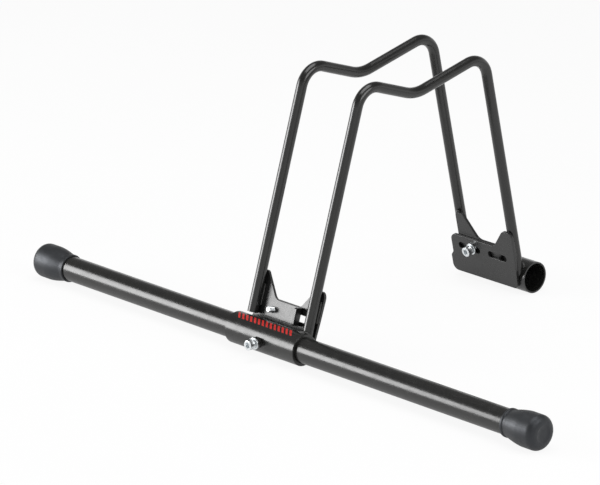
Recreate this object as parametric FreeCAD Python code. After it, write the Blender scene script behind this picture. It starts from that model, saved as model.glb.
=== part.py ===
import FreeCAD, Part
import math
import os

# Floor bike rack. Millimetres, +Z up, resting on z = 0. The long cross tube lies along X and is
# centred on x = 0; the frame with the two bent rod hoops stands beside its middle. The wheel rolls
# in along Y between the hoops. The origin is under the middle of the whole rack.

# Cross tube, its end caps and the sleeve it slides in
cross_tube_length = 700.0
cross_tube_dia = 25.4
cross_tube_wall = 1.5
sleeve_dia = 32.0
sleeve_length = 97.0
sleeve_clearance = 0.3
sleeve_end_chamfer = 0.6
frame_offset = -16.0

cap_grip = 40.0
cap_end_wall = 4.0
cap_dia = 35.0
cap_lip_dia = 28.6
cap_lip_width = 3.0
cap_groove_depth = 0.5
cap_flare_length = 20.0
cap_flare_bulge = 0.5
cap_end_radius = 7.5

# Rear tube under the back legs
rear_tube_dia = 32.4
rear_tube_length = 97.0
rear_tube_wall = 1.6
tube_spacing = 320.0

# Hoops: one bent rod each, with a dip between two shoulders
rod_dia = 10.8
hoop_spacing = 76.0
front_leg_tilt = 17.2
rear_leg_tilt = 12.5
dip_from_sleeve = 159.2
dip_height = 240.5
fall_angle = 19.6
rise_angle = 12.9
shoulder_bend = 22.0
dip_bend = 45.0
sliding_hoop_lift = 4.9
fixed_foot = 5.0
sliding_foot = 18.0

# Bracket plates: heights run along the leg, from the axis of the tube below
plate_thickness = 3.0
slide_gap = 0.3
fixed_plate_left_overhang = 0.5
fixed_plate_right_overhang = 1.0
fixed_plate_bottom = -6.0
fixed_plate_corner = 7.0
left_step_inset = 2.9
left_step_low = 11.0
left_step_high = 15.0
left_step_corner = 4.0
right_waist_inset = 0.3
right_waist_height = 27.0
right_waist_bend = 12.0
right_foot_inset = 3.0
plate_bridge = 36.4
ear_height = 57.5
ear_inner_foot = 16.0
ear_slope_run = 15.5
ear_foot_bend = 5.0
sliding_ear_height = 61.3
sliding_ear_foot = 15.6
sliding_ear_run = 18.4
sliding_ear_bend = 10.0
sliding_plate_bottom = 18.0
sliding_plate_top = 36.0
sliding_plate_right = 21.0
sliding_plate_overhang = 0.1
sliding_plate_corner = 4.0
end_lip_depth = 7.0
end_lip_bend = 4.0
end_lip_corner = 2.0

slot_height = 7.0
slot_level = 25.5
screw_slot_left = -35.5
screw_slot_length = 30.0
spare_slot_left = 6.0
spare_slot_length = 26.0
slide_screw_x = -17.0

# Hex socket cap screws, spring washers, flat washers and the nut welded to the sleeve
screw_dia = 6.0
screw_length = 16.0
screw_head_dia = 10.0
screw_head_height = 6.0
socket_width = 5.0
socket_depth = 3.0
thread_clearance = 0.05
washer_clearance = 0.2
washer_dia = 12.0
washer_thickness = 1.6
spring_washer_dia = 9.8
spring_washer_thickness = 1.6
spring_washer_split = 0.8
washer_gap = 0.15
nut_width = 10.0
nut_height = 5.0
lock_tip_gap = 0.2

# Weld beads
bead_radius = 2.2
plate_bead_inset = 10.5
plate_bead_rod_gap = 10.0
upper_bead_height = 7.0
lower_bead_drop = 0.8
rod_bead_radius = 1.8
rod_bead_low = 26.0
rod_bead_high = 47.0

# Worked out from the driving sizes
rod_r = rod_dia / 2
tube_r = cross_tube_dia / 2
sleeve_r = sleeve_dia / 2
rear_r = rear_tube_dia / 2
cap_r = cap_dia / 2
screw_r = screw_dia / 2
cap_length = cap_grip + cap_end_wall
lock_head_face = sleeve_r + nut_height + washer_thickness + spring_washer_thickness + screw_head_height
front_y = (lock_head_face - tube_spacing - rear_r) / 2
rear_y = front_y + tube_spacing
near_x = hoop_spacing / 2
sleeve_half = sleeve_length / 2

X_AXIS = FreeCAD.Vector(1, 0, 0)
Y_AXIS = FreeCAD.Vector(0, 1, 0)
Z_AXIS = FreeCAD.Vector(0, 0, 1)


def vec(x, y, z):
    return FreeCAD.Vector(x, y, z)


def rod_along_x(radius, x0, x1, y=0.0, z=0.0):
    """A round bar along X from x0 to x1."""
    return Part.makeCylinder(radius, x1 - x0, vec(x0, y, z), X_AXIS)


def bent_edges(points, closed):
    """Straight runs joined by tangent arcs; each point is (position, bend radius)."""
    count = len(points)
    edges = []
    ends = []
    for i, (corner, radius) in enumerate(points):
        if radius <= 0 or (not closed and i in (0, count - 1)):
            ends.append((corner, corner))
            continue
        before = (points[i - 1][0] - corner).normalize()
        after = (points[(i + 1) % count][0] - corner).normalize()
        half = before.getAngle(after) / 2
        reach = radius / math.tan(half)
        centre = corner + (before + after).normalize() * (radius / math.sin(half))
        start = corner + before * reach
        end = corner + after * reach
        middle = centre + (corner - centre).normalize() * radius
        ends.append((start, end))
        edges.append((i, Part.Arc(start, middle, end).toShape()))
    arcs = dict(edges)
    path = []
    for i in range(count):
        if i in arcs:
            path.append(arcs[i])
        if i < count - 1 or closed:
            path.append(Part.makeLine(ends[i][1], ends[(i + 1) % count][0]))
    return Part.Wire(path)


def plate(points, y0, thickness):
    """A flat plate in the XZ plane, from y0 inwards; points are (x, height, corner radius)."""
    corners = [(vec(x, y0, s), radius) for x, s, radius in points]
    return Part.Face(bent_edges(corners, True)).extrude(vec(0, thickness, 0))


def slot(left, length, y0, thickness):
    """A slot cutter with round ends, level with the slide screws."""
    r = slot_height / 2
    start = vec(left + r, y0 - 1, slot_level)
    end = vec(left + length - r, y0 - 1, slot_level)
    up = vec(0, 0, r)
    side = vec(r, 0, 0)
    outline = Part.Wire([
        Part.makeLine(start + up, end + up),
        Part.Arc(end + up, end + side, end - up).toShape(),
        Part.makeLine(end - up, start - up),
        Part.Arc(start - up, start - side, start + up).toShape(),
    ])
    return Part.Face(outline).extrude(vec(0, thickness + 2, 0))


def rims(bar):
    """The circles at the ends of a round bar."""
    return [edge for edge in bar.Edges if len(edge.Vertexes) == 1]


def bead(start, end, radius):
    """A weld bead: a round bar with bevelled ends, half a radius longer than its run each way."""
    along = (end - start).normalize()
    body = Part.makeCylinder(radius, (end - start).Length + radius, start - along * (radius / 2), along)
    return body.makeChamfer(radius / 2, rims(body))


def hexagon(width, y0, length):
    """A hexagonal bar along +Y from y0; width is across the flats."""
    r = width / math.sqrt(3)
    turns = [math.radians(60 * i) for i in range(7)]
    ring = [vec(r * math.cos(a), y0, r * math.sin(a)) for a in turns]
    return Part.Face(Part.makePolygon(ring)).extrude(vec(0, length, 0))


# Brackets are drawn beside a tube on the X axis, with their legs standing along +Z and the wheel
# on the +Y side. These two put them on the sleeve and on the rear tube.
def at_front(shape):
    shape = shape.copy()
    shape.rotate(vec(0, 0, 0), X_AXIS, -front_leg_tilt)
    shape.translate(vec(frame_offset, front_y, cap_r))
    return shape


def at_rear(shape):
    shape = shape.mirror(vec(0, 0, 0), Y_AXIS)
    shape.rotate(vec(0, 0, 0), X_AXIS, rear_leg_tilt)
    shape.translate(vec(frame_offset, rear_y, rear_r))
    return shape


def fixed_rod_offset(tube_radius):
    """Distance of the fixed rod's centreline from the tube's axis, towards the wheel."""
    return tube_radius - rod_r


def sliding_rod_offset(tube_radius):
    return tube_radius - slide_gap - plate_thickness - rod_r


# Cross tube group
def cross_tube():
    half = cross_tube_length / 2
    outer = rod_along_x(tube_r, -half, half)
    inner = rod_along_x(tube_r - cross_tube_wall, -half, half)
    tube = outer.cut(inner)
    tube.translate(vec(0, front_y, cap_r))
    return tube


def end_cap(side):
    """Flared cap turned about the tube's axis, pushed over its end; side is -1 or 1."""
    lip_r = cap_lip_dia / 2
    groove_r = lip_r - cap_groove_depth
    groove_end = cap_lip_width * 1.5
    flare_half = cap_flare_length / 2
    outline = [
        (0, tube_r),
        (0, lip_r),
        (cap_lip_width, lip_r),
        (cap_lip_width, groove_r),
        (groove_end, groove_r),
        (groove_end + flare_half, (groove_r + cap_r) / 2 + cap_flare_bulge),
        (groove_end + cap_flare_length, cap_r),
    ]
    for turn in (90, 60, 30, 0):
        along = cap_length - cap_end_radius * (1 - math.cos(math.radians(turn)))
        across = cap_r - cap_end_radius * (1 - math.sin(math.radians(turn)))
        outline.append((along, across))
    outline += [(cap_length, 0), (cap_grip, 0), (cap_grip, tube_r), (0, tube_r)]
    section = Part.makePolygon([vec(along, across, 0) for along, across in outline])
    cap = Part.Face(section).revolve(vec(0, 0, 0), X_AXIS, 360)
    cap.translate(vec(cross_tube_length / 2 - cap_grip, 0, 0))
    if side < 0:
        cap.rotate(vec(0, 0, 0), Z_AXIS, 180)
    cap.translate(vec(0, front_y, cap_r))
    return cap


# Sleeve, rear tube and hoops
def sleeve():
    """Thick tube with bevelled ends and a hole at the front for the lock screw."""
    bore_r = tube_r + sleeve_clearance
    body = rod_along_x(sleeve_r, -sleeve_half, sleeve_half)
    body = body.makeChamfer(sleeve_end_chamfer, rims(body))
    body = body.cut(rod_along_x(bore_r, -sleeve_half, sleeve_half))
    screw_hole = Part.makeCylinder(screw_r + washer_clearance, sleeve_dia, vec(0, 0, 0), -Y_AXIS)
    body = body.cut(screw_hole)
    body.translate(vec(frame_offset, front_y, cap_r))
    return body


def rear_tube():
    half = rear_tube_length / 2
    body = rod_along_x(rear_r, -half, half).cut(rod_along_x(rear_r - rear_tube_wall, -half, half))
    body.translate(vec(frame_offset, rear_y, rear_r))
    return body


def leg_line(front, offset):
    """Foot and direction of a leg's centreline; its foot is level with the tube's axis."""
    tilt = math.radians(front_leg_tilt if front else rear_leg_tilt)
    inward = 1 if front else -1
    y = front_y if front else rear_y
    z = cap_r if front else rear_r
    foot = vec(0, y + inward * offset * math.cos(tilt), z - offset * math.sin(tilt))
    return foot, vec(0, inward * math.sin(tilt), math.cos(tilt))


def meet(p, d, q, e):
    """Where the line from p along d meets the line from q along e, in the YZ plane."""
    gap = q - p
    reach = (gap.y * e.z - gap.z * e.y) / (d.y * e.z - d.z * e.y)
    return p + d * reach


def hoop(front_offset, rear_offset, foot_height, lift, x):
    """One rod swept up the front leg, over the dipped top and down the rear leg."""
    front_foot, front_up = leg_line(True, front_offset)
    rear_foot, rear_up = leg_line(False, rear_offset)
    fall = math.radians(fall_angle)
    rise = math.radians(rise_angle)
    dip = vec(0, front_y + dip_from_sleeve, dip_height + lift)
    front_shoulder = meet(front_foot, front_up, dip, vec(0, -math.cos(fall), math.sin(fall)))
    rear_shoulder = meet(rear_foot, rear_up, dip, vec(0, math.cos(rise), math.sin(rise)))
    points = [
        (front_foot + front_up * foot_height, 0),
        (front_shoulder, shoulder_bend),
        (dip, dip_bend),
        (rear_shoulder, shoulder_bend),
        (rear_foot + rear_up * foot_height, 0),
    ]
    path = bent_edges(points, False)
    section = Part.Wire([Part.makeCircle(rod_r, points[0][0], front_up)])
    rod = path.makePipeShell([section], True, False)
    rod.translate(vec(frame_offset + x, 0, 0))
    return rod


def fixed_hoop():
    """The hoop welded down, its feet coped to the sleeve and to the rear tube."""
    rod = hoop(fixed_rod_offset(sleeve_r), fixed_rod_offset(rear_r), fixed_foot, 0.0, near_x)
    left = frame_offset - sleeve_length
    right = frame_offset + sleeve_length
    on_sleeve = rod_along_x(sleeve_r, left, right, front_y, cap_r)
    on_rear = rod_along_x(rear_r, left, right, rear_y, rear_r)
    return rod.cut(on_sleeve).cut(on_rear)


def sliding_hoop():
    return hoop(sliding_rod_offset(sleeve_r), sliding_rod_offset(rear_r), sliding_foot,
                sliding_hoop_lift, -near_x)


# Bracket pieces beside a tube of the given radius
def fixed_plate(tube_radius):
    """Plate tangent to the tube, with two slots and an ear behind the fixed rod."""
    left = -sleeve_half - fixed_plate_left_overhang
    step = -sleeve_half + left_step_inset
    right = sleeve_half + fixed_plate_right_overhang
    outline = [
        (left, fixed_plate_bottom, fixed_plate_corner),
        (left, left_step_low, left_step_corner),
        (step, left_step_high, left_step_corner),
        (step, plate_bridge, fixed_plate_corner),
        (ear_inner_foot, plate_bridge, ear_foot_bend),
        (ear_inner_foot + ear_slope_run, ear_height, fixed_plate_corner),
        (right, ear_height, fixed_plate_corner),
        (sleeve_half - right_waist_inset, right_waist_height, right_waist_bend),
        (sleeve_half - right_foot_inset, fixed_plate_bottom, fixed_plate_corner),
    ]
    body = plate(outline, tube_radius, plate_thickness)
    body = body.cut(slot(screw_slot_left, screw_slot_length, tube_radius, plate_thickness))
    return body.cut(slot(spare_slot_left, spare_slot_length, tube_radius, plate_thickness))


def end_lip(y0):
    """The right end of a sliding plate, turned away from the wheel; y0 is the plate's outer face."""
    right = sliding_plate_right
    tip = y0 - end_lip_depth
    height = sliding_plate_top - sliding_plate_bottom
    section = [
        (right - 2 * end_lip_bend, y0 + plate_thickness, 0),
        (right, y0 + plate_thickness, end_lip_bend),
        (right, tip, 0),
        (right - plate_thickness, tip, 0),
        (right - plate_thickness, y0, end_lip_bend - plate_thickness),
        (right - 2 * end_lip_bend, y0, 0),
    ]
    corners = [(vec(x, y, sliding_plate_bottom), radius) for x, y, radius in section]
    lip = Part.Face(bent_edges(corners, True)).extrude(vec(0, 0, height))
    ends = [edge for edge in lip.Edges if abs(edge.CenterOfMass.y - tip) < 0.01 and
            abs(edge.tangentAt(edge.FirstParameter).x) > 0.9]
    return lip.makeFillet(end_lip_corner, ends)


def sliding_plate(tube_radius):
    """Plate that slides on the fixed plate's outer face, with an ear behind the sliding rod."""
    left = -near_x - rod_r - sliding_plate_overhang
    right = sliding_plate_right - 2 * end_lip_bend
    outline = [
        (left, sliding_plate_bottom, sliding_plate_corner),
        (left, sliding_ear_height, sliding_plate_corner),
        (-sliding_ear_foot - sliding_ear_run, sliding_ear_height, sliding_plate_corner),
        (-sliding_ear_foot, sliding_plate_top, sliding_ear_bend),
        (right, sliding_plate_top, 0),
        (right, sliding_plate_bottom, 0),
    ]
    y0 = tube_radius - slide_gap - plate_thickness
    body = plate(outline, y0, plate_thickness).fuse(end_lip(y0)).removeSplitter()
    tapped = Part.makeCylinder(screw_r + thread_clearance, plate_thickness + 2,
                               vec(slide_screw_x, y0 - 1, slot_level), Y_AXIS)
    return body.cut(tapped)


def plate_welds(tube_radius):
    """Beads in the wedge between the plate and the tube, above and below the line of contact."""
    neighbours = frame_neighbours(tube_radius)
    y = tube_radius - bead_radius / 2
    left = plate_bead_inset - sleeve_half
    foot = fixed_plate_bottom - lower_bead_drop
    upper = bead(vec(left, y, upper_bead_height),
                 vec(near_x - plate_bead_rod_gap, y, upper_bead_height), bead_radius)
    lower = bead(vec(left, y, foot), vec(-left, y, foot), bead_radius)
    return Part.makeCompound([trimmed(upper, neighbours), trimmed(lower, neighbours)])


def leg_stub(x, offset):
    """The straight foot of a leg, used to trim the beads beside it."""
    return Part.makeCylinder(rod_r, 2 * rod_bead_high, vec(x, offset, 0), Z_AXIS)


def frame_neighbours(tube_radius):
    """What the beads on the welded side lie against."""
    tube = rod_along_x(tube_radius, -sleeve_length, sleeve_length)
    return [tube, fixed_plate(tube_radius), leg_stub(near_x, fixed_rod_offset(tube_radius))]


def trimmed(weld, neighbours):
    """The bead without what its neighbours fill; only its largest piece stays."""
    for body in neighbours:
        weld = weld.cut(body)
    return max(weld.Solids, key=lambda solid: solid.Volume)


def rod_beads(x, plate_face, neighbours):
    """A bead on each side of a rod, in the corner between it and its plate."""
    across = rod_r - rod_bead_radius / 2
    y = plate_face - rod_bead_radius / 2
    found = []
    for side in (-1, 1):
        weld = bead(vec(x + side * across, y, rod_bead_low),
                    vec(x + side * across, y, rod_bead_high), rod_bead_radius)
        found.append(trimmed(weld, neighbours))
    return found


def fixed_rod_welds(tube_radius):
    """Beads that hold the fixed rod to its plate and to the tube under it."""
    neighbours = frame_neighbours(tube_radius)
    found = rod_beads(near_x, tube_radius, neighbours)
    outer = fixed_rod_offset(tube_radius) - rod_r
    level = math.sqrt(tube_radius ** 2 - outer ** 2)
    foot = bead(vec(near_x - rod_r / 2, outer, level), vec(near_x + rod_r / 2, outer, level),
                bead_radius)
    return found + [trimmed(foot, neighbours)]


def sliding_rod_welds(tube_radius):
    offset = sliding_rod_offset(tube_radius)
    face = tube_radius - slide_gap - plate_thickness
    return rod_beads(-near_x, face, [leg_stub(-near_x, offset), sliding_plate(tube_radius)])


# Fasteners stand on the y = 0 plane: heads and washers above it in +Y, shanks below
def cap_screw(stack):
    """Hex socket cap screw; stack is the height of the washers under its head."""
    head = Part.makeCylinder(screw_head_dia / 2, screw_head_height, vec(0, stack, 0), Y_AXIS)
    face = [edge for edge in rims(head) if edge.CenterOfMass.y > stack + screw_head_height / 2]
    head = head.makeChamfer(screw_head_height / 10, face)
    socket = hexagon(socket_width, stack + screw_head_height - socket_depth, socket_depth + 1)
    head = head.cut(socket)
    shank = Part.makeCylinder(screw_r, screw_length, vec(0, stack - screw_length, 0), Y_AXIS)
    tip = [edge for edge in rims(shank) if edge.CenterOfMass.y < stack - screw_length / 2]
    shank = shank.makeChamfer(screw_dia / 10, tip)
    return head.fuse(shank).removeSplitter()


def ring(outer_dia, base, thickness):
    """A washer whose lower face is at y = base."""
    body = Part.makeCylinder(outer_dia / 2, thickness, vec(0, base, 0), Y_AXIS)
    hole = Part.makeCylinder(screw_r + washer_clearance, thickness + 2, vec(0, base - 1, 0), Y_AXIS)
    return body.cut(hole)


def flat_washer():
    return ring(washer_dia, 0, washer_thickness)


def spring_washer():
    """A split ring on top of the flat washer."""
    body = ring(spring_washer_dia, washer_thickness, spring_washer_thickness)
    split = Part.makeBox(spring_washer_dia, spring_washer_thickness + 2, spring_washer_split,
                         vec(0, washer_thickness - 1, -spring_washer_split / 2))
    split.rotate(vec(0, 0, 0), Y_AXIS, 20)
    return body.cut(split)


def slide_stack(shape, tube_radius):
    """Stand a fastener on the fixed plate's inner face, at the slot."""
    shape = shape.copy()
    shape.translate(vec(slide_screw_x, tube_radius + plate_thickness + washer_gap, slot_level))
    return shape


def lock_stack(shape):
    """Stand a fastener on the nut, pointing at the cross tube from the front."""
    shape = shape.mirror(vec(0, 0, 0), Y_AXIS)
    shape.translate(vec(frame_offset, front_y - sleeve_r - nut_height, cap_r))
    return shape


def lock_screw():
    """The same screw, cut to end just short of the cross tube."""
    stack = washer_thickness + spring_washer_thickness
    screw = cap_screw(stack)
    reach = sleeve_r + nut_height - tube_r - lock_tip_gap
    end = Part.makeBox(screw_head_dia, screw_length, screw_head_dia,
                       vec(-screw_head_dia / 2, -reach - screw_length, -screw_head_dia / 2))
    return lock_stack(screw.cut(end))


def lock_nut():
    """Hexagonal nut with its base saddled to the sleeve."""
    body = hexagon(nut_width, -sleeve_r - nut_height, nut_height + 2)
    body = body.cut(rod_along_x(sleeve_r, -nut_width, nut_width))
    hole = Part.makeCylinder(screw_r + thread_clearance, 2 * sleeve_dia, vec(0, 0, 0), -Y_AXIS)
    body = body.cut(hole)
    body.translate(vec(frame_offset, front_y, cap_r))
    return body


def all_nodes():
    """Every node of the rack by name."""
    nodes = {
        "cross_tube": cross_tube(),
        "end_cap_left": end_cap(-1),
        "end_cap_right": end_cap(1),
        "sleeve": sleeve(),
        "rear_tube": rear_tube(),
        "fixed_hoop": fixed_hoop(),
        "sliding_hoop": sliding_hoop(),
        "lock_nut": lock_nut(),
        "lock_screw": lock_screw(),
        "lock_flat_washer": lock_stack(flat_washer()),
        "lock_spring_washer": lock_stack(spring_washer()),
    }
    fixed_welds = []
    sliding_welds = []
    slide_screw = cap_screw(washer_thickness + spring_washer_thickness)
    for end, put, radius in (("front", at_front, sleeve_r), ("rear", at_rear, rear_r)):
        nodes[end + "_fixed_plate"] = put(fixed_plate(radius))
        nodes[end + "_sliding_plate"] = put(sliding_plate(radius))
        nodes[end + "_plate_welds"] = put(plate_welds(radius))
        nodes[end + "_slide_screw"] = put(slide_stack(slide_screw, radius))
        nodes[end + "_flat_washer"] = put(slide_stack(flat_washer(), radius))
        nodes[end + "_spring_washer"] = put(slide_stack(spring_washer(), radius))
        fixed_welds += [put(weld) for weld in fixed_rod_welds(radius)]
        sliding_welds += [put(weld) for weld in sliding_rod_welds(radius)]
    nodes["fixed_hoop_welds"] = Part.makeCompound(fixed_welds)
    nodes["sliding_hoop_welds"] = Part.makeCompound(sliding_welds)
    return nodes


def main():
    os.makedirs("parts", exist_ok=True)
    for name, shape in all_nodes().items():
        assert shape.isValid(), name + " is not a valid shape"
        shape.exportStep("parts/" + name + ".step")
        box = shape.BoundBox
        print("%-22s solids %d  volume %9.1f  x %7.1f %7.1f  y %7.1f %7.1f  z %6.1f %6.1f" % (
            name, len(shape.Solids), shape.Volume,
            box.XMin, box.XMax, box.YMin, box.YMax, box.ZMin, box.ZMax))


main()
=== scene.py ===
"""Looks of a floor bike rack: black enamelled steel, rubber end caps and bright zinc screws.

Every length in the properties is a real one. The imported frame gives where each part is, and the
bracket pieces are drawn beside their tube in the same way at the front and at the rear.
"""

import math

import bmesh
import bpy
from mathutils import Matrix, Quaternion, Vector


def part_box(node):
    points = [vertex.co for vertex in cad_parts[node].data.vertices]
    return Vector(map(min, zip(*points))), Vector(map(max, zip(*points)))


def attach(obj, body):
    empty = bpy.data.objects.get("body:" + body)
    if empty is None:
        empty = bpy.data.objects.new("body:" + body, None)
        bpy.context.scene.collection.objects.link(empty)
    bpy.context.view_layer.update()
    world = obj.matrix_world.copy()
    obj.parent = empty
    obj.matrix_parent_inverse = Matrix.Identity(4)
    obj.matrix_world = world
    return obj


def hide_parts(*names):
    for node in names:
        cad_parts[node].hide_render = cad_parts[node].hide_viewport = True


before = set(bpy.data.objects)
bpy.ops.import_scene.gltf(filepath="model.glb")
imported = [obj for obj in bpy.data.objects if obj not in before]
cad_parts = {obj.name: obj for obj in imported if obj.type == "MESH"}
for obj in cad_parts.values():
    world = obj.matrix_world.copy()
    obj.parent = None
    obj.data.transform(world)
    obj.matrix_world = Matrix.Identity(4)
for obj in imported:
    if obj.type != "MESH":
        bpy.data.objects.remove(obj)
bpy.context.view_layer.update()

bl_info = {
    "name": "Floor bike rack",
    "version": (1, 0, 0),
    "blender": (4, 5, 0),
    "location": "View3D > Sidebar > Rack",
    "description": "Dresses the packed floor bike rack and sets up its studio",
    "category": "Object",
}

MM = 0.001


def linear(code):
    """An sRGB hex colour as linear RGB."""
    parts = [int(code[i:i + 2], 16) / 255 for i in (1, 3, 5)]
    return tuple(p / 12.92 if p <= 0.04045 else ((p + 0.055) / 1.055) ** 2.4 for p in parts)


def middle(node):
    """The middle of a CAD node's box."""
    low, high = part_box(node)
    return (low + high) / 2


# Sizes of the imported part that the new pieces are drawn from
SLEEVE_R = 0.016
REAR_R = 0.0162
TUBE_R = 0.0127
ROD_R = 0.0054
PLATE = 0.003
SLIDE_GAP = 0.0003
WASHER_GAP = 0.00015
HALF_SPACING = 0.038
SCREW_X = -0.017
SLOT_LEVEL = 0.0255
NUT_HEIGHT = 0.005
WASHER_T = 0.0016
FRAME_X = middle("sleeve").x
FRONT_TILT = math.radians(17.2)
REAR_TILT = math.radians(12.5)

# Beside each tube X runs along it, +Y is towards the wheel and +Z goes up the legs
AT_FRONT = Matrix.Translation((FRAME_X, middle("sleeve").y, middle("sleeve").z)) @ \
    Matrix.Rotation(-FRONT_TILT, 4, "X")
AT_REAR = Matrix.Translation((FRAME_X, middle("rear_tube").y, middle("rear_tube").z)) @ \
    Matrix.Rotation(REAR_TILT, 4, "X") @ Matrix.Diagonal((1, -1, 1, 1))

# Degrees between two faces: under the first they are shaded as one surface, and over the second
# their edge is a stamped one that gets rounded
SMOOTH_UNDER = 38
BEVEL_OVER = 50

# M6 socket cap screws, with a 5 mm hex socket
HEAD_R, HEAD_H = 5.0 * MM, 6.0 * MM
SHANK_R, THREAD_R, TIP_R = 3.0 * MM, 2.96 * MM, 2.4 * MM
THREAD_DEPTH = 0.5 * MM
SOCKET_R, SOCKET_DEPTH = 2.5 * MM, 3 * MM
FLUTES = 36
LOCK_SHANK, SLIDE_SHANK = 11.3 * MM, 16 * MM
WASHER_BORE_R = 3.2 * MM

# Beads along a fixed plate: height beside the tube, right end, inset from the tube and radius
PLATE_BEADS_LEFT = -38 * MM
PLATE_BEADS = ((7 * MM, 28 * MM, 0.7 * MM, 2.0 * MM),
               (-5.6 * MM, 36 * MM, 1.2 * MM, 1.5 * MM))
# Beads on both sides of a rod: from where to where they go up the plate, how far in from the
# rod's side and the plate's face they lie, and the radii of all the beads on the rods
ROD_BEAD_LOW, ROD_BEAD_HIGH = 25.5 * MM, 47.5 * MM
ROD_BEAD_IN, FACE_BEAD_IN = 1.2 * MM, 0.6 * MM
ROD_BEAD_R, EAR_BEAD_R, SADDLE_BEAD_R = 1.5 * MM, 1.4 * MM, 1.9 * MM

# The printed row on the sleeve: its ends along the tube, how far a stripe leans, the angles
# round the tube that it spans and how far the ink reaches out of the paint and into it
STRIPES_LEFT, STRIPES_RIGHT, STRIPE_LEAN = -53.5 * MM, 22.5 * MM, -7.5 * MM
STRIPE_LOW, STRIPE_HIGH = math.radians(62), math.radians(91)
INK = 0.05 * MM

# The photograph's camera, fitted to it: place and aim in metres, lens in mm, roll in degrees
CAMERA_AT = (3.45376, -3.38959, 1.6972)
CAMERA_AIM = (0.05508, -0.17964, 0.13914)
CAMERA_LENS, CAMERA_SENSOR, CAMERA_ROLL = 309.98, 36, -0.195


class RackFinish(bpy.types.PropertyGroup):
    """Colours of the rack's finishes."""
    tube: bpy.props.FloatVectorProperty(
        name="Tube enamel", description="Gloss enamel on the tubes", subtype="COLOR",
        default=linear("#1b1b1a"), min=0, max=1)
    rod: bpy.props.FloatVectorProperty(
        name="Rod enamel", description="Gloss enamel on the hoops", subtype="COLOR",
        default=linear("#191918"), min=0, max=1)
    plate: bpy.props.FloatVectorProperty(
        name="Plate enamel", description="Satin enamel on the bracket plates", subtype="COLOR",
        default=linear("#1b1b1b"), min=0, max=1)
    rubber: bpy.props.FloatVectorProperty(
        name="Rubber", description="Moulded rubber of the end caps", subtype="COLOR",
        default=linear("#191a1b"), min=0, max=1)
    zinc: bpy.props.FloatVectorProperty(
        name="Zinc", description="Bright zinc plating on screws and washers", subtype="COLOR",
        default=linear("#e4e8ea"), min=0, max=1)
    ink: bpy.props.FloatVectorProperty(
        name="Stripe ink", description="Printed stripes on the sleeve", subtype="COLOR",
        default=linear("#bd231d"), min=0, max=1)


class RackDetail(bpy.types.PropertyGroup):
    """Sizes of the fine details."""
    edge_break: bpy.props.FloatProperty(
        name="Edge break", description="Rounding of the plates' stamped edges", unit="LENGTH",
        default=0.4 * MM, min=0, max=1 * MM)
    ripple: bpy.props.FloatProperty(
        name="Weld ripple", description="Distance between two ripples of a weld", unit="LENGTH",
        default=1.6 * MM, min=0.5 * MM, max=4 * MM)
    thread_pitch: bpy.props.FloatProperty(
        name="Thread pitch", description="Pitch of the M6 screw thread", unit="LENGTH",
        default=1.0 * MM, min=0.5 * MM, max=2 * MM)
    knurl_depth: bpy.props.FloatProperty(
        name="Knurl depth", description="Depth of the flutes round a screw head", unit="LENGTH",
        default=0.14 * MM, min=0, max=0.5 * MM)
    stripe_count: bpy.props.IntProperty(
        name="Stripes", description="How many stripes are printed on the sleeve",
        default=14, min=1, max=40)
    stripe_width: bpy.props.FloatProperty(
        name="Stripe width", description="Width of one stripe along the sleeve", unit="LENGTH",
        default=3.0 * MM, min=0.5 * MM, max=10 * MM)


# Materials
def add_node(tree, kind, values=None, links=None, **settings):
    """Adds a node with its settings, the values on its sockets and what feeds them."""
    made = tree.nodes.new(kind)
    for name, value in settings.items():
        setattr(made, name, value)
    for socket, value in (values or {}).items():
        made.inputs[socket].default_value = value
    for socket, source in (links or {}).items():
        tree.links.new(source, made.inputs[socket])
    return made


def new_material(name):
    """An empty node material, with its tree, its output node and coordinates in metres."""
    found = bpy.data.materials.new(name)
    found.use_nodes = True
    tree = found.node_tree
    tree.nodes.clear()
    output = add_node(tree, "ShaderNodeOutputMaterial")
    coords = add_node(tree, "ShaderNodeTexCoord").outputs["Object"]
    return found, tree, output, coords


def scaled(colour, factor):
    """An RGBA value of a colour made lighter or darker."""
    return tuple(min(1.0, c * factor) for c in colour) + (1.0,)


def surface_grain(tree, coords, size, depth, detail=2.0):
    """A bump whose grains are size across and depth high, both in metres."""
    noise = add_node(tree, "ShaderNodeTexNoise", {"Scale": 1 / size, "Detail": detail},
                     {"Vector": coords})
    return add_node(tree, "ShaderNodeBump", {"Strength": 1.0, "Distance": depth},
                    {"Height": noise.outputs["Fac"]}).outputs["Normal"]


def varied(tree, coords, size, low, high):
    """A number that drifts between low and high over patches of this size in metres."""
    noise = add_node(tree, "ShaderNodeTexNoise", {"Scale": 1 / size, "Detail": 3.0},
                     {"Vector": coords})
    return add_node(tree, "ShaderNodeMapRange",
                    {"From Min": 0.3, "From Max": 0.7, "To Min": low, "To Max": high},
                    {"Value": noise.outputs["Fac"]}).outputs["Result"]


def tinted(tree, coords, size, low, high):
    """A colour that drifts between low and high over patches of this size in metres."""
    # The mix node's number, vector and colour sockets share their names, so these go by place
    share, first, second, result = 0, 6, 7, 2
    mix = add_node(tree, "ShaderNodeMix", {first: low, second: high},
                   {share: varied(tree, coords, size, 0.0, 1.0)}, data_type="RGBA")
    return mix.outputs[result]


def stoved_enamel(name, colour, rough, peel, depth):
    """Black stoved enamel on steel. The eye gets a deep black with soft-edged reflections that
    ripple a little in the flow marks of the paint; peel is their size and depth their height."""
    found, tree, output, coords = new_material(name)
    shader = add_node(tree, "ShaderNodeBsdfPrincipled", {"IOR": 1.55}, {
        "Base Color": tinted(tree, coords, 45 * MM, scaled(colour, 0.88), scaled(colour, 1.12)),
        "Roughness": varied(tree, coords, 9 * MM, rough - 0.03, rough + 0.04),
        "Normal": surface_grain(tree, coords, peel, depth)})
    tree.links.new(shader.outputs["BSDF"], output.inputs["Surface"])
    return found


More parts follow.
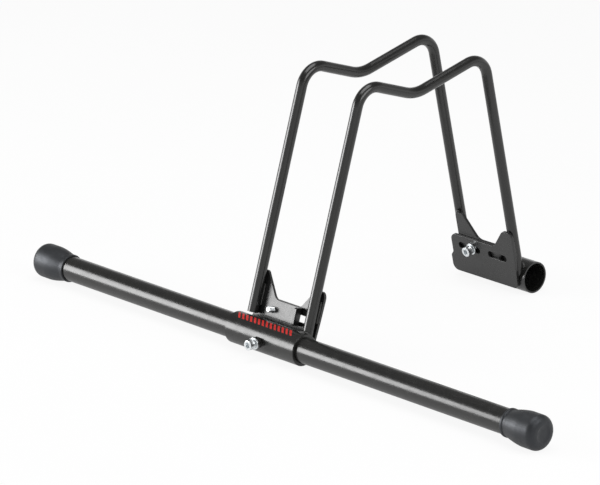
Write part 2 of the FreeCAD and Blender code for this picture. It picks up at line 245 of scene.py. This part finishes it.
def moulded_rubber(colour):
    """EPDM rubber, compression moulded in a blasted mould. The eye gets a matte blue-black with
    a broad dull highlight and a fine even grain."""
    found, tree, output, coords = new_material("epdm_rubber_moulded")
    # The real grain of 0.15 mm is too fine to show, so it is drawn at 0.7 mm
    grain = surface_grain(tree, coords, 0.7 * MM, 0.03 * MM, 4.0)
    shader = add_node(
        tree, "ShaderNodeBsdfPrincipled",
        {"IOR": 1.52, "Specular Tint": (0.88, 0.92, 1, 1)},
        {"Base Color": tinted(tree, coords, 12 * MM, scaled(colour, 0.85), scaled(colour, 1.2)),
         "Roughness": varied(tree, coords, 5 * MM, 0.42, 0.50),
         "Normal": grain})
    tree.links.new(shader.outputs["BSDF"], output.inputs["Surface"])
    return found


def zinc_plate(colour):
    """Steel, bright zinc plated and blue passivated. The eye gets a cool silver with a slight
    frosting that breaks up its reflections."""
    found, tree, output, coords = new_material("steel_bright_zinc_plated")
    shader = add_node(tree, "ShaderNodeBsdfPrincipled", {"Metallic": 1.0}, {
        "Base Color": tinted(tree, coords, 2.5 * MM, scaled(colour, 0.86), scaled(colour, 1.04)),
        "Roughness": varied(tree, coords, 1.5 * MM, 0.24, 0.36),
        "Normal": surface_grain(tree, coords, 0.5 * MM, 0.006 * MM)})
    tree.links.new(shader.outputs["BSDF"], output.inputs["Surface"])
    return found


def print_ink(colour):
    """Pad-printed epoxy ink. The eye gets a flat strong red, a little thin in places so that
    the black below darkens it."""
    found, tree, output, coords = new_material("epoxy_ink_pad_printed")
    shader = add_node(tree, "ShaderNodeBsdfPrincipled", {"IOR": 1.5, "Roughness": 0.42}, {
        "Base Color": tinted(tree, coords, 1.8 * MM, scaled(colour, 0.72), scaled(colour, 1.06)),
        "Normal": surface_grain(tree, coords, 0.6 * MM, 0.004 * MM)})
    tree.links.new(shader.outputs["BSDF"], output.inputs["Surface"])
    return found


MADE = {}


def finish_of(slot):
    """The material of a slot, made once."""
    colours = bpy.context.scene.rack_finish
    makers = {
        "black_tube_paint": lambda: stoved_enamel(
            "steel_tube_stoved_enamel_gloss", colours.tube,
            rough=0.24, peel=2.2 * MM, depth=0.006 * MM),
        "black_rod_paint": lambda: stoved_enamel(
            "steel_rod_stoved_enamel_gloss", colours.rod,
            rough=0.20, peel=1.8 * MM, depth=0.005 * MM),
        "black_plate_paint": lambda: stoved_enamel(
            "steel_plate_stoved_enamel_satin", colours.plate,
            rough=0.28, peel=0.9 * MM, depth=0.005 * MM),
        "black_weld_paint": lambda: stoved_enamel(
            "weld_bead_stoved_enamel_gloss", colours.rod,
            rough=0.20, peel=1.2 * MM, depth=0.008 * MM),
        "black_rubber": lambda: moulded_rubber(colours.rubber),
        "zinc_plate": lambda: zinc_plate(colours.zinc),
        "stripe_ink": lambda: print_ink(colours.ink),
    }
    if slot not in MADE:
        MADE[slot] = makers[slot]()
    return MADE[slot]


# Building pieces
def piece(name, mesh_parts, body, slot, *replaced):
    """Turns a bmesh into a smooth piece that rides on a CAD body and takes a slot's finish.
    The ink is a finish of this file alone, so it is no slot of the record."""
    bmesh.ops.remove_doubles(mesh_parts, verts=mesh_parts.verts, dist=1e-7)
    bmesh.ops.recalc_face_normals(mesh_parts, faces=mesh_parts.faces)
    mesh = bpy.data.meshes.new(name)
    mesh_parts.to_mesh(mesh)
    mesh_parts.free()
    mesh.shade_smooth()
    mesh.set_sharp_from_angle(angle=math.radians(SMOOTH_UNDER))
    mesh.materials.append(finish_of(slot))
    made = bpy.data.objects.new(name, mesh)
    bpy.context.scene.collection.objects.link(made)
    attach(made, body)
    if replaced:
        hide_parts(*replaced)
    return made


def dress(node, slot):
    """Gives a CAD node its finish."""
    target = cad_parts[node]
    for material_slot in target.material_slots:
        material_slot.link = "OBJECT"
        material_slot.material = finish_of(slot)


def skin(parts, rings, ends=False):
    """Joins closed rings of points, all as long, into a skin, and closes its ends if asked."""
    rows = [[parts.verts.new(point) for point in ring] for ring in rings]
    count = len(rows[0])
    for here, there in zip(rows, rows[1:]):
        for j in range(count):
            k = (j + 1) % count
            parts.faces.new((here[j], here[k], there[k], there[j]))
    if ends:
        parts.faces.new(rows[0])
        parts.faces.new(rows[-1])


def turned(parts, profile, count, place, shape=None):
    """Turns a profile of (height, radius) about the local Z axis. shape(height, radius, turn)
    may change the radius round the piece."""
    rings = []
    for height, radius in profile:
        ring = []
        for i in range(count):
            turn = 2 * math.pi * i / count
            r = shape(height, radius, turn) if shape else radius
            ring.append(place @ Vector((r * math.cos(turn), r * math.sin(turn), height)))
        rings.append(ring)
    skin(parts, rings)


def arc_points(centre, radius, start, end, steps):
    """Points of an arc in a profile; angles in degrees."""
    found = []
    for i in range(steps + 1):
        turn = math.radians(start + (end - start) * i / steps)
        found.append((centre[0] + radius * math.cos(turn), centre[1] + radius * math.sin(turn)))
    return found


def stamped(node):
    """A bmesh of a CAD node with its flat faces in one piece."""
    parts = bmesh.new()
    parts.from_mesh(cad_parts[node].data)
    bmesh.ops.remove_doubles(parts, verts=parts.verts, dist=1e-6)
    bmesh.ops.dissolve_limit(parts, angle_limit=math.radians(0.5), verts=parts.verts,
                             edges=parts.edges)
    return parts


def narrowed(parts, at):
    """Takes the right end of a fixed plate in, past its second slot."""
    start, reach, cut = 33 * MM, 16.5 * MM, 4.5 * MM
    back = at.inverted()
    for vert in parts.verts:
        local = back @ vert.co
        if local.x > start:
            local.x -= (local.x - start) / reach * cut
            vert.co = at @ local
    return parts


def set_over(parts, at):
    """Moves the left edge and the ear of a sliding plate in, clear of its screw hole."""
    step, hole_top, edge_right, ear_right = 6.5 * MM, 30 * MM, -30 * MM, 5 * MM
    back = at.inverted()
    for vert in parts.verts:
        local = back @ vert.co
        if local.x < edge_right or (local.z > hole_top and local.x < ear_right):
            local.x += step
            vert.co = at @ local
    return parts


def break_edges(made, width):
    """Rounds the stamped edges of a piece, with its flat faces kept flat."""
    bevel = made.modifiers.new("edge_break", "BEVEL")
    bevel.width = width
    bevel.segments = 3
    bevel.limit_method = "ANGLE"
    bevel.angle_limit = math.radians(BEVEL_OVER)
    bevel.harden_normals = True


def cap_profile():
    """Half section of an end cap, from its mouth at height 0 to its closed end: a rounded lip,
    a neck, a flare and a rounded end with a shallow round recess."""
    bore = TUBE_R + 0.05 * MM
    lip, lip_edge, lip_width = 14.3 * MM, 0.5 * MM, 2.5 * MM
    neck, flare_from, flare_long, flare_steps = 13.7 * MM, 4.5 * MM, 20 * MM, 12
    full, end, end_edge = 17.5 * MM, 44.0 * MM, 7.5 * MM
    recess, floor = 0.25 * MM, 4 * MM
    points = [(0.0, bore), (0.0, lip - lip_edge)]
    points += arc_points((lip_edge, lip - lip_edge), lip_edge, 180, 90, 3)
    points += arc_points((lip_width, lip - lip_edge), lip_edge, 90, 20, 3)
    points += [(3.3 * MM, neck), (4.3 * MM, neck)]
    for i in range(1, flare_steps + 1):
        share = i / flare_steps
        rise = 1 - (1 - share) ** 1.5
        points.append((flare_from + flare_long * share, neck + (full - neck) * rise))
    points += [(30 * MM, full), (35 * MM, full)]
    points += arc_points((end - end_edge, full - end_edge), end_edge, 90, 8, 10)
    points += [(end, full - 8.4 * MM), (end - 0.05 * MM, full - 9.0 * MM),
               (end - recess, full - 9.3 * MM), (end - recess, 4 * MM), (end - recess, 0.0),
               (end - floor, 0.0), (end - floor, bore)]
    return points + points[:1]


class RACK_OT_tubes(bpy.types.Operator):
    """Enamel on the cross tube, its sleeve and the rear tube"""
    bl_idname = "rack.tubes"
    bl_label = "Tubes"

    def execute(self, context):
        for node in ("cross_tube", "sleeve", "rear_tube"):
            dress(node, "black_tube_paint")
        return {"FINISHED"}


class RACK_OT_hoops(bpy.types.Operator):
    """Enamel on the two bent hoops"""
    bl_idname = "rack.hoops"
    bl_label = "Hoops"

    def execute(self, context):
        for node in ("fixed_hoop", "sliding_hoop"):
            dress(node, "black_rod_paint")
        return {"FINISHED"}


class RACK_OT_plates(bpy.types.Operator):
    """Stamped bracket plates with broken edges, and the welded nut"""
    bl_idname = "rack.plates"
    bl_label = "Bracket plates"

    def execute(self, context):
        edge = context.scene.rack_detail.edge_break
        for end, at in (("front", AT_FRONT), ("rear", AT_REAR)):
            fixed = piece(f"{end}_fixed_stamped_plate",
                          narrowed(stamped(f"{end}_fixed_plate"), at), "frame",
                          "black_plate_paint", f"{end}_fixed_plate")
            shape = stamped(f"{end}_sliding_plate")
            if end == "rear":
                set_over(shape, at)
            sliding = piece(f"{end}_sliding_stamped_plate", shape, "sliding_hoop_group",
                            "black_plate_paint", f"{end}_sliding_plate")
            break_edges(fixed, edge)
            break_edges(sliding, edge)
        nut = piece("lock_weld_nut", stamped("lock_nut"), "frame", "black_weld_paint",
                    "lock_nut")
        break_edges(nut, edge / 2)
        return {"FINISHED"}


class RACK_OT_end_caps(bpy.types.Operator):
    """Moulded rubber caps on both ends of the cross tube"""
    bl_idname = "rack.end_caps"
    bl_label = "End caps"

    def execute(self, context):
        for side, name in ((-1, "left"), (1, "right")):
            node = f"end_cap_{name}"
            low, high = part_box(node)
            mouth = high.x if side < 0 else low.x
            place = Matrix.Translation((mouth, middle(node).y, middle(node).z)) @ \
                Matrix.Rotation(side * math.pi / 2, 4, "Y")
            parts = bmesh.new()
            turned(parts, cap_profile(), 96, place)
            piece(f"end_cap_{name}_rubber", parts, "cross_tube_group", "black_rubber", node)
        return {"FINISHED"}


def screw_shape(context):
    """How a cap screw's section changes round it: flutes on the head, a hex socket, a thread."""
    detail = context.scene.rack_detail
    hex_side = math.pi / 3

    def shape(height, radius, turn):
        if radius > HEAD_R - 0.02 * MM and 0.7 * MM < height < HEAD_H - 0.8 * MM:
            return radius - detail.knurl_depth * (0.5 + 0.5 * math.cos(FLUTES * turn))
        if 2.2 * MM < radius < 2.9 * MM and height > HEAD_H - 3.2 * MM:
            return radius / math.cos((turn + hex_side / 2) % hex_side - hex_side / 2)
        if height < -0.8 * MM and radius > 2.2 * MM:
            rise = (height / detail.thread_pitch - turn / (2 * math.pi)) % 1.0
            return radius - THREAD_DEPTH * abs(2 * rise - 1) ** 0.8
        return radius
    return shape


def screw_profile(context, shank):
    """Half section of a cap screw from its tip to the bottom of its socket; the head sits on 0.
    The thread has eight rings of points to a turn."""
    pitch = context.scene.rack_detail.thread_pitch
    edge = 0.4 * MM
    thread = shank - 0.6 * MM
    points = [(-shank, 0.0), (-shank, TIP_R)]
    steps = int(thread / pitch * 8)
    for i in range(steps + 1):
        points.append((-shank + 0.5 * MM + thread * i / steps, THREAD_R))
    points += [(0.0, SHANK_R), (0.0, HEAD_R - 0.25 * MM), (0.25 * MM, HEAD_R)]
    points += [(0.6 * MM, HEAD_R), (0.8 * MM, HEAD_R), (HEAD_H - 0.9 * MM, HEAD_R),
               (HEAD_H - 0.7 * MM, HEAD_R)]
    points += arc_points((HEAD_H - edge, HEAD_R - edge), edge, 90, 0, 4)
    points += [(HEAD_H, 3.2 * MM), (HEAD_H, 2.75 * MM), (HEAD_H - 0.25 * MM, SOCKET_R),
               (HEAD_H - SOCKET_DEPTH, SOCKET_R), (HEAD_H - SOCKET_DEPTH - 0.7 * MM, 0.0)]
    return points


def add_screw(context, name, body, place, shank, node):
    """A fluted socket cap screw whose head sits at the origin of place and points along +Z."""
    parts = bmesh.new()
    turned(parts, screw_profile(context, shank), 2 * FLUTES, place, screw_shape(context))
    piece(name, parts, body, "zinc_plate", node)


def spring_ring(name, body, place, node):
    """A split ring whose ends stand a little apart; it rises from 0 along +Z. The gap is half
    of the split, in radians, and lift is how much higher one end stands."""
    inner, outer, thick, lift = WASHER_BORE_R, 4.9 * MM, 1.3 * MM, 0.26 * MM
    gap, corner, steps = 0.12, 0.2 * MM, 72
    parts = bmesh.new()
    rings = []
    for i in range(steps + 1):
        share = i / steps
        turn = gap + (2 * math.pi - 2 * gap) * share
        low = lift * share
        high = low + thick
        outline = [(inner, low + corner), (inner, high - corner), (inner + corner, high),
                   (outer - corner, high), (outer, high - corner), (outer, low + corner),
                   (outer - corner, low), (inner + corner, low)]
        rings.append([place @ Vector((r * math.cos(turn), r * math.sin(turn), z))
                      for r, z in outline])
    skin(parts, rings, ends=True)
    piece(name, parts, body, "zinc_plate", node)


def flat_ring(name, body, place, node):
    """A stamped washer with a rolled upper edge and a sharper lower one; it rises from 0."""
    inner, outer, thick = WASHER_BORE_R, 6.0 * MM, WASHER_T
    soft, crisp = 0.35 * MM, 0.12 * MM
    profile = [(crisp, inner), (thick - crisp, inner), (thick, inner + crisp)]
    profile += arc_points((thick - soft, outer - soft), soft, 0, 90, 4)
    profile += [(crisp, outer), (0.0, outer - crisp), (0.0, inner + crisp), (crisp, inner)]
    parts = bmesh.new()
    turned(parts, profile, 64, place)
    piece(name, parts, body, "zinc_plate", node)


def fastener_places():
    """Where the three stacks stand: their base on the surface, +Z out along the screw."""
    out = Matrix.Rotation(-math.pi / 2, 4, "X")
    stacks = {}
    for end, at, radius in (("front", AT_FRONT, SLEEVE_R), ("rear", AT_REAR, REAR_R)):
        base = Matrix.Translation((SCREW_X, radius + PLATE + WASHER_GAP, SLOT_LEVEL))
        stacks[end] = (at @ base @ out, f"{end}_slide_screw_group")
    sleeve = middle("sleeve")
    face = Matrix.Translation((sleeve.x, sleeve.y - SLEEVE_R - NUT_HEIGHT, sleeve.z))
    stacks["lock"] = (face @ Matrix.Rotation(math.pi / 2, 4, "X"), "lock_screw_group")
    return stacks


class RACK_OT_screws(bpy.types.Operator):
    """Fluted socket cap screws with rolled threads"""
    bl_idname = "rack.screws"
    bl_label = "Screws"

    def execute(self, context):
        for end, (place, body) in fastener_places().items():
            seat = place @ Matrix.Translation((0, 0, 2 * WASHER_T))
            if end == "lock":
                add_screw(context, "lock_cap_screw", body, seat, LOCK_SHANK, "lock_screw")
            else:
                add_screw(context, f"{end}_slide_cap_screw", body, seat, SLIDE_SHANK,
                          f"{end}_slide_screw")
        return {"FINISHED"}


class RACK_OT_washers(bpy.types.Operator):
    """Flat washers and split spring washers under the screw heads"""
    bl_idname = "rack.washers"
    bl_label = "Washers"

    def execute(self, context):
        for end, (place, body) in fastener_places().items():
            flat_ring(f"{end}_stamped_washer", body, place, f"{end}_flat_washer")
            lifted = place @ Matrix.Translation((0, 0, WASHER_T + 0.02 * MM)) @ \
                Matrix.Rotation(math.radians(20), 4, "Z")
            spring_ring(f"{end}_split_washer", body, lifted, f"{end}_spring_washer")
        return {"FINISHED"}


# Welds
def run_bead(parts, at, points, radius, ripple, seed):
    """A rippled bead along a line of points in the bracket's own axes. It tapers at its ends,
    its width wanders a little, and each ripple lags more on one side than on the other."""
    around, per_ripple = 16, 6
    no_bead_way = Vector((0.31, 0.55, 0.77))
    lengths = [0.0]
    for a, b in zip(points, points[1:]):
        lengths.append(lengths[-1] + (b - a).length)
    total = lengths[-1]
    steps = max(12, int(total / ripple * per_ripple))
    rings = []
    for i in range(steps + 1):
        s = total * i / steps
        k = max(j for j in range(len(points) - 1) if lengths[j] <= s + 1e-12)
        a, b = points[k], points[k + 1]
        along = (b - a).normalized()
        centre = a + along * (s - lengths[k])
        side = along.cross(no_bead_way).normalized()
        up = along.cross(side)
        taper = math.sin(math.pi * min(0.5, 0.12 + min(s, total - s) / (2.6 * radius)))
        wander = 1 + 0.09 * math.sin(7.3 * s / (10 * ripple) + seed) + \
            0.05 * math.sin(19.0 * s / (10 * ripple) + 2 * seed)
        ring = []
        for j in range(around):
            turn = 2 * math.pi * j / around
            lag = 0.30 * math.cos(turn + seed)
            wave = (s / ripple + lag) % 1.0
            r = radius * taper * wander * (0.90 + 0.13 * math.sin(math.pi * wave))
            ring.append(at @ (centre + (side * math.cos(turn) + up * math.sin(turn)) * r))
        rings.append(ring)
    skin(parts, rings, ends=True)


def saddle(radius):
    """The line round the outer side of the fixed rod where it stands on its tube."""
    offset, reach, above = radius - ROD_R, ROD_R + 0.5 * MM, 0.3 * MM
    start, sweep, steps = 200, 140, 24
    found = []
    for i in range(steps + 1):
        turn = math.radians(start + sweep * i / steps)
        y = offset + reach * math.sin(turn)
        x = HALF_SPACING + reach * math.cos(turn)
        found.append(Vector((x, y, math.sqrt(radius ** 2 - y ** 2) + above)))
    return found


def ear_edge(face):
    """The line up the left edge of the rear sliding plate and over the top of its ear."""
    edge, foot, top = -37.2 * MM, 38 * MM, 61.0 * MM
    level = face + FACE_BEAD_IN
    return [Vector((edge, level, foot)),
            Vector((edge, level, top - 2 * MM)),
            Vector((edge + 1.2 * MM, level, top)),
            Vector((edge + 4.2 * MM, level, top + 0.4 * MM))]


class RACK_OT_welds(bpy.types.Operator):
    """Rippled weld beads on the plates, the tubes and the rods"""
    bl_idname = "rack.welds"
    bl_label = "Weld beads"

    def execute(self, context):
        ripple = context.scene.rack_detail.ripple
        rods = {"fixed": bmesh.new(), "sliding": bmesh.new()}
        for end, at, radius in (("front", AT_FRONT, SLEEVE_R), ("rear", AT_REAR, REAR_R)):
            seed = 1.0 if end == "front" else 2.4
            parts = bmesh.new()
            for height, right, inset, size in PLATE_BEADS:
                y = radius - inset
                line = [Vector((PLATE_BEADS_LEFT, y, height)), Vector((right, y, height))]
                run_bead(parts, at, line, size, ripple, seed + height)
            piece(f"{end}_plate_weld_beads", parts, "frame", "black_weld_paint",
                  f"{end}_plate_welds")
            for kind, x, face in (("fixed", HALF_SPACING, radius),
                                  ("sliding", -HALF_SPACING, radius - SLIDE_GAP - PLATE)):
                for side in (-1, 1):
                    if end == "rear" and kind == "sliding" and side < 0:
                        run_bead(rods[kind], at, ear_edge(face), EAR_BEAD_R, ripple, seed)
                        continue
                    across = x + side * (ROD_R - ROD_BEAD_IN)
                    line = [Vector((across, face - FACE_BEAD_IN, ROD_BEAD_LOW)),
                            Vector((across, face - FACE_BEAD_IN, ROD_BEAD_HIGH))]
                    run_bead(rods[kind], at, line, ROD_BEAD_R, ripple, seed + side)
            run_bead(rods["fixed"], at, saddle(radius), SADDLE_BEAD_R, ripple, seed)
        piece("fixed_hoop_weld_beads", rods["fixed"], "frame", "black_weld_paint",
              "fixed_hoop_welds")
        piece("sliding_hoop_weld_beads", rods["sliding"], "sliding_hoop_group",
              "black_weld_paint", "sliding_hoop_welds")
        return {"FINISHED"}


class RACK_OT_stripes(bpy.types.Operator):
    """A row of plain slanted stripes printed on the top of the sleeve"""
    bl_idname = "rack.stripes"
    bl_label = "Sleeve stripes"

    def execute(self, context):
        detail = context.scene.rack_detail
        axis = middle("sleeve")
        steps, outer, inner = 12, SLEEVE_R + INK, SLEEVE_R - INK
        pitch = (STRIPES_RIGHT - STRIPES_LEFT - detail.stripe_width) / (detail.stripe_count - 1)
        parts = bmesh.new()
        for i in range(detail.stripe_count):
            start = STRIPES_LEFT + pitch * i
            rings = []
            for j in range(steps + 1):
                share = j / steps
                turn = STRIPE_LOW + (STRIPE_HIGH - STRIPE_LOW) * share
                x0 = start + STRIPE_LEAN * share
                x1 = x0 + detail.stripe_width
                rings.append([Vector((x, axis.y - r * math.cos(turn),
                                      axis.z + r * math.sin(turn)))
                              for x, r in ((x0, outer), (x1, outer), (x1, inner), (x0, inner))])
            skin(parts, rings, ends=True)
        piece("sleeve_stripes", parts, "frame", "stripe_ink")
        return {"FINISHED"}


# Studio
def floor_material():
    """Matt white wall paint on a board. The eye gets plain white with the object's soft shadow,
    and black paint mirrors it at half strength."""
    seen_straight, seen_mirrored = 0.9, 0.5
    found, tree, output, coords = new_material("floor_matt_white_paint")
    tone = tinted(tree, coords, 0.6, (0.80, 0.80, 0.80, 1), (0.84, 0.84, 0.84, 1))
    plain = add_node(tree, "ShaderNodeBsdfDiffuse", links={"Color": tone})
    white = add_node(tree, "ShaderNodeEmission", {"Color": (1, 1, 1, 1), "Strength": 1.0})
    rays = add_node(tree, "ShaderNodeLightPath").outputs
    through = add_node(tree, "ShaderNodeMath", operation="MAXIMUM", links={
        0: rays["Is Glossy Ray"], 1: rays["Is Transmission Ray"]})
    mirrored = add_node(tree, "ShaderNodeMath", {1: seen_mirrored}, {0: through.outputs[0]},
                        operation="MULTIPLY")
    straight = add_node(tree, "ShaderNodeMath", {1: seen_straight}, {0: rays["Is Camera Ray"]},
                        operation="MULTIPLY")
    share = add_node(tree, "ShaderNodeMath", operation="MAXIMUM", links={
        0: mirrored.outputs[0], 1: straight.outputs[0]})
    mix = add_node(tree, "ShaderNodeMixShader", links={
        0: share.outputs[0], 1: plain.outputs["BSDF"], 2: white.outputs["Emission"]})
    tree.links.new(mix.outputs["Shader"], output.inputs["Surface"])
    return found


def studio_world():
    """White near the horizon and greyer overhead, like a lit room with a dark ceiling."""
    world = bpy.data.worlds.new("studio")
    bpy.context.scene.world = world
    world.use_nodes = True
    tree = world.node_tree
    tree.nodes.clear()
    ray = add_node(tree, "ShaderNodeTexCoord").outputs["Generated"]
    height = add_node(tree, "ShaderNodeSeparateXYZ", links={"Vector": ray}).outputs["Z"]
    level = add_node(tree, "ShaderNodeMapRange",
                     {"From Min": 0.10, "From Max": 0.5, "To Min": 1.0, "To Max": 0.22},
                     {"Value": height})
    back = add_node(tree, "ShaderNodeBackground", {"Color": (1, 1, 1, 1)},
                    {"Strength": level.outputs["Result"]})
    output = add_node(tree, "ShaderNodeOutputWorld")
    tree.links.new(back.outputs["Background"], output.inputs["Surface"])


def soft_box(name, azimuth, distance, height, size, watts, look):
    """A rectangular soft box that stands at an azimuth from -Y and faces a point."""
    light = bpy.data.lights.new(name, "AREA")
    light.shape = "RECTANGLE"
    light.size, light.size_y = size
    light.energy = watts
    turn = math.radians(azimuth)
    box = bpy.data.objects.new(name, light)
    box.location = (distance * math.sin(turn), -distance * math.cos(turn), height)
    toward = Vector(look) - box.location
    box.rotation_euler = toward.to_track_quat("-Z", "Y").to_euler()
    box.visible_camera = False
    bpy.context.scene.collection.objects.link(box)


class RACK_OT_stage(bpy.types.Operator):
    """Floor, room light, soft boxes and the camera"""
    bl_idname = "rack.stage"
    bl_label = "Stage"

    def execute(self, context):
        parts = bmesh.new()
        bmesh.ops.create_circle(parts, cap_ends=True, segments=96, radius=14.0)
        mesh = bpy.data.meshes.new("studio_floor")
        parts.to_mesh(mesh)
        parts.free()
        mesh.materials.append(floor_material())
        floor = bpy.data.objects.new("studio_floor", mesh)
        floor.location.z = -0.05 * MM
        context.scene.collection.objects.link(floor)
        studio_world()
        soft_box("key_soft_box", azimuth=-46, distance=1.86, height=0.43, size=(1.05, 0.88),
                 watts=28, look=(0, -0.05, 0.05))
        soft_box("side_soft_box", azimuth=92, distance=1.1, height=0.85, size=(1.0, 0.5),
                 watts=6.0, look=(0, 0, 0.1))
        soft_box("top_soft_box", azimuth=0, distance=0.05, height=2.2, size=(1.7, 1.7),
                 watts=28, look=(0, 0, 0))
        context.scene.view_settings.view_transform = "Standard"
        self.add_camera(context)
        return {"FINISHED"}

    def add_camera(self, context):
        """The camera of the photograph."""
        lens = bpy.data.cameras.new("camera")
        lens.sensor_width = CAMERA_SENSOR
        lens.lens = CAMERA_LENS
        lens.clip_end = 60
        camera = bpy.data.objects.new("camera", lens)
        camera.location = CAMERA_AT
        aim = Vector(CAMERA_AIM) - camera.location
        roll = Quaternion((0, 0, 1), math.radians(CAMERA_ROLL))
        camera.rotation_mode = "QUATERNION"
        camera.rotation_quaternion = aim.to_track_quat("-Z", "Y") @ roll
        context.scene.collection.objects.link(camera)
        context.scene.camera = camera


class RACK_PT_panel(bpy.types.Panel):
    """The rack's properties and building steps"""
    bl_idname = "RACK_PT_panel"
    bl_label = "Floor bike rack"
    bl_space_type = "VIEW_3D"
    bl_region_type = "UI"
    bl_category = "Rack"

    def draw(self, context):
        for group in (context.scene.rack_finish, context.scene.rack_detail):
            box = self.layout.box()
            for name in group.__annotations__:
                box.prop(group, name)
        for operator in OPERATORS:
            self.layout.operator(operator.bl_idname)


OPERATORS = (RACK_OT_tubes, RACK_OT_hoops, RACK_OT_plates, RACK_OT_end_caps, RACK_OT_screws,
             RACK_OT_washers, RACK_OT_welds, RACK_OT_stripes, RACK_OT_stage)
CLASSES = (RackFinish, RackDetail) + OPERATORS + (RACK_PT_panel,)


def register():
    for cls in CLASSES:
        bpy.utils.register_class(cls)
    bpy.types.Scene.rack_finish = bpy.props.PointerProperty(type=RackFinish)
    bpy.types.Scene.rack_detail = bpy.props.PointerProperty(type=RackDetail)


def unregister():
    del bpy.types.Scene.rack_detail
    del bpy.types.Scene.rack_finish
    for cls in reversed(CLASSES):
        bpy.utils.unregister_class(cls)


def main():
    register()
    bpy.ops.rack.tubes()
    bpy.ops.rack.hoops()
    bpy.ops.rack.plates()
    bpy.ops.rack.end_caps()
    bpy.ops.rack.screws()
    bpy.ops.rack.washers()
    bpy.ops.rack.welds()
    bpy.ops.rack.stripes()
    bpy.ops.rack.stage()


if __name__ == "__main__":
    main()
